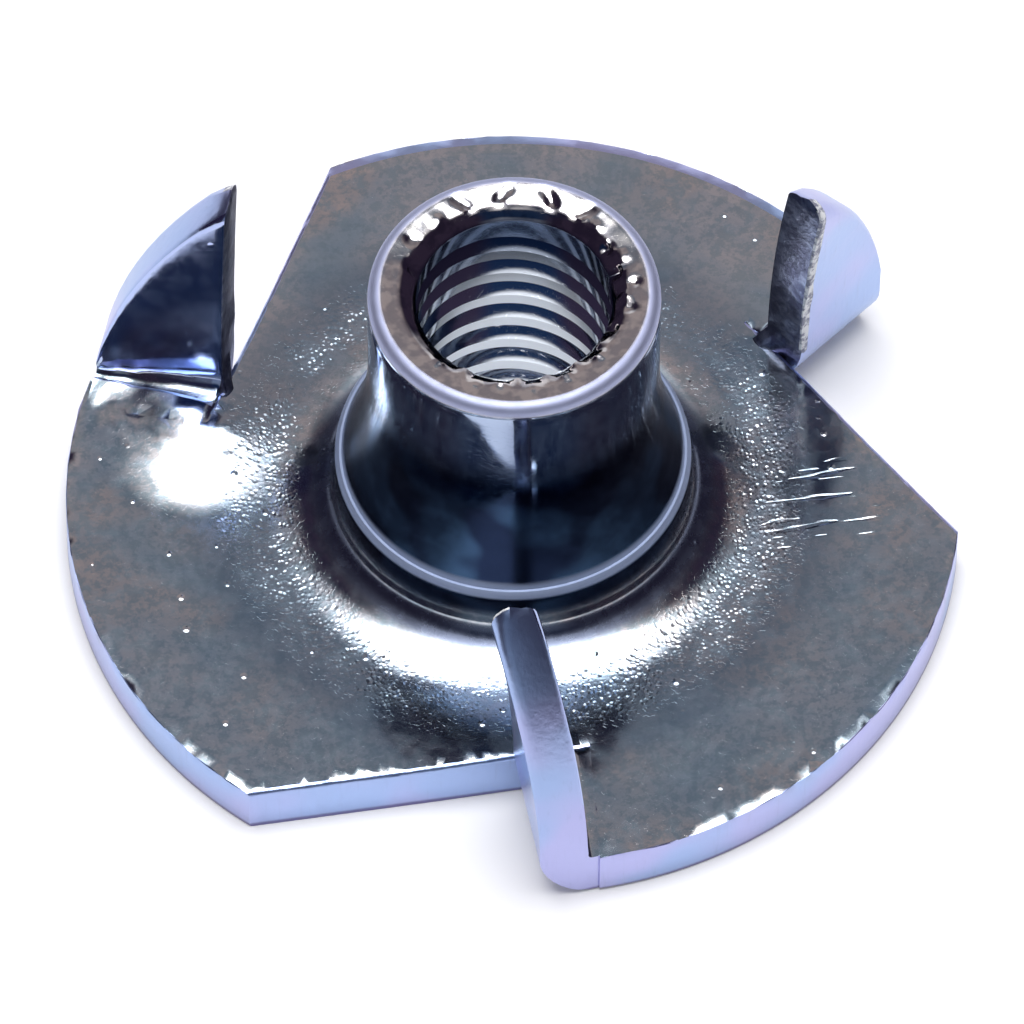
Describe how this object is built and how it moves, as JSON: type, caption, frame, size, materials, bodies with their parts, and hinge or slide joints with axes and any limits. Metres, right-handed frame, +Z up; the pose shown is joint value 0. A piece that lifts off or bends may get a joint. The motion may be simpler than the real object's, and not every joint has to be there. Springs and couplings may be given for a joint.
{
  "type": "tee nut",
  "caption": "Pronged tee nut: a round sheet-steel flange drawn up into a flared, internally threaded barrel, with prongs sheared from the rim and folded up to bite into wood.",
  "frame": {"origin": "on the barrel's axis, in the plane of the flange's underside, which it stands on", "axes": "+Z up the barrel, from the flange to the mouth; one prong stands towards -Y and the other two are 120 degrees to each side of it"},
  "size_m": [0.0187, 0.019, 0.0086],
  "materials": {
    "zinc_plated_steel": "bright zinc plate with a clear bluish passivation, mottled"
  },
  "bodies": {
    "root": {"tee_nut": "zinc_plated_steel"}
  },
  "joints": []
}
